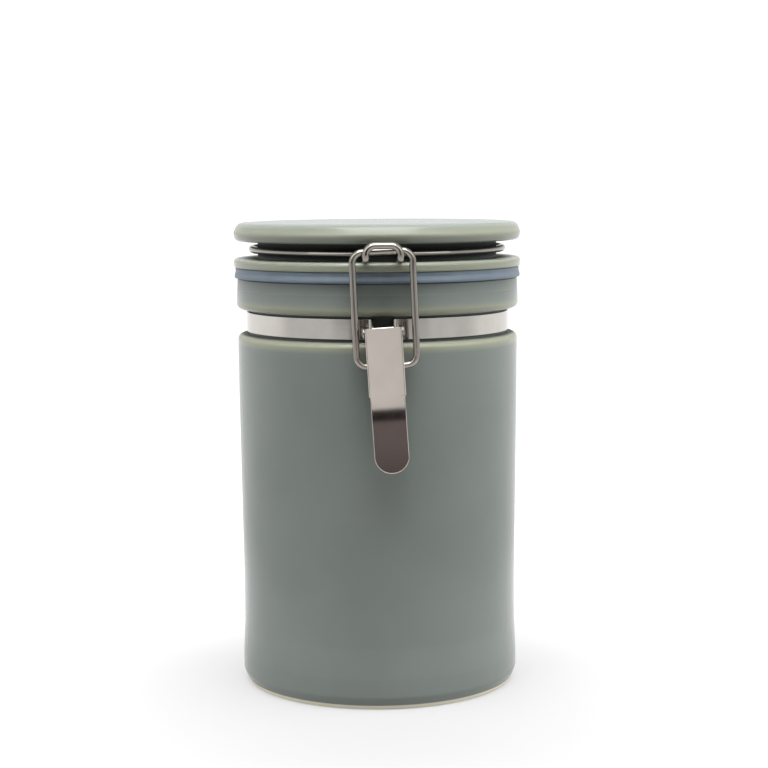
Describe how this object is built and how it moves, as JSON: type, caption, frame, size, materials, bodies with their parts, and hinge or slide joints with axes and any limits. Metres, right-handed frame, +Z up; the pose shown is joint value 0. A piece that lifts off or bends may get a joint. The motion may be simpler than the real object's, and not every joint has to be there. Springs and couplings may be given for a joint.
{
  "type": "tea canister",
  "caption": "Cylindrical glazed stoneware canister with a plug lid on a wire hinge, a rubber seal, a steel neck band and an over-centre wire clasp with a thumb lever.",
  "frame": {"origin": "middle of the flat foot that stands on the table", "axes": "+Z up along the axis of the canister, -Y towards the clasp, +X to the right of someone who faces the clasp"},
  "size_m": [0.087, 0.0982, 0.1404],
  "materials": {
    "jar_glaze": "semi-gloss grey-green glaze, paler and more yellow where it thins at edges, unglazed foot",
    "lid_glaze": "semi-gloss grey-green glaze, paler at edges",
    "seal_rubber": "satin blue-grey silicone",
    "strip_steel": "bright rolled strip",
    "wire_steel": "bright drawn wire",
    "pressed_steel": "satin pressed sheet"
  },
  "bodies": {
    "canister": {"canister_body": "jar_glaze", "neck_band": "strip_steel", "hinge_plate": "strip_steel"},
    "lid": {"lid": "lid_glaze", "lid_gasket": "seal_rubber", "lid_ring_wire": "wire_steel"},
    "lever": {"clasp_lever": "pressed_steel", "lever_pin": "wire_steel"},
    "bail": {"bail_wire": "wire_steel"}
  },
  "joints": [
    {"name": "lid_hinge", "type": "hinge", "parent": "canister", "child": "lid", "pos_m": [0, 0.0458, 0.1328], "axis": [-1, 0, 0], "range_deg": [0, 105]},
    {"name": "lever_pivot", "type": "hinge", "parent": "canister", "child": "lever", "pos_m": [0, -0.0452, 0.1102], "axis": [-0.9982, 0, -0.0593], "range_deg": [0, 80]},
    {"name": "bail_pivot", "type": "hinge", "parent": "lever", "child": "bail", "pos_m": [0.00057, -0.0446, 0.10062], "axis": [-0.9992, 0, -0.0401], "range_deg": [-60, 0]}
  ],
  "couplings": [
    {"joint": "bail_pivot", "follows": "lever_pivot", "ratio": -0.75}
  ]
}
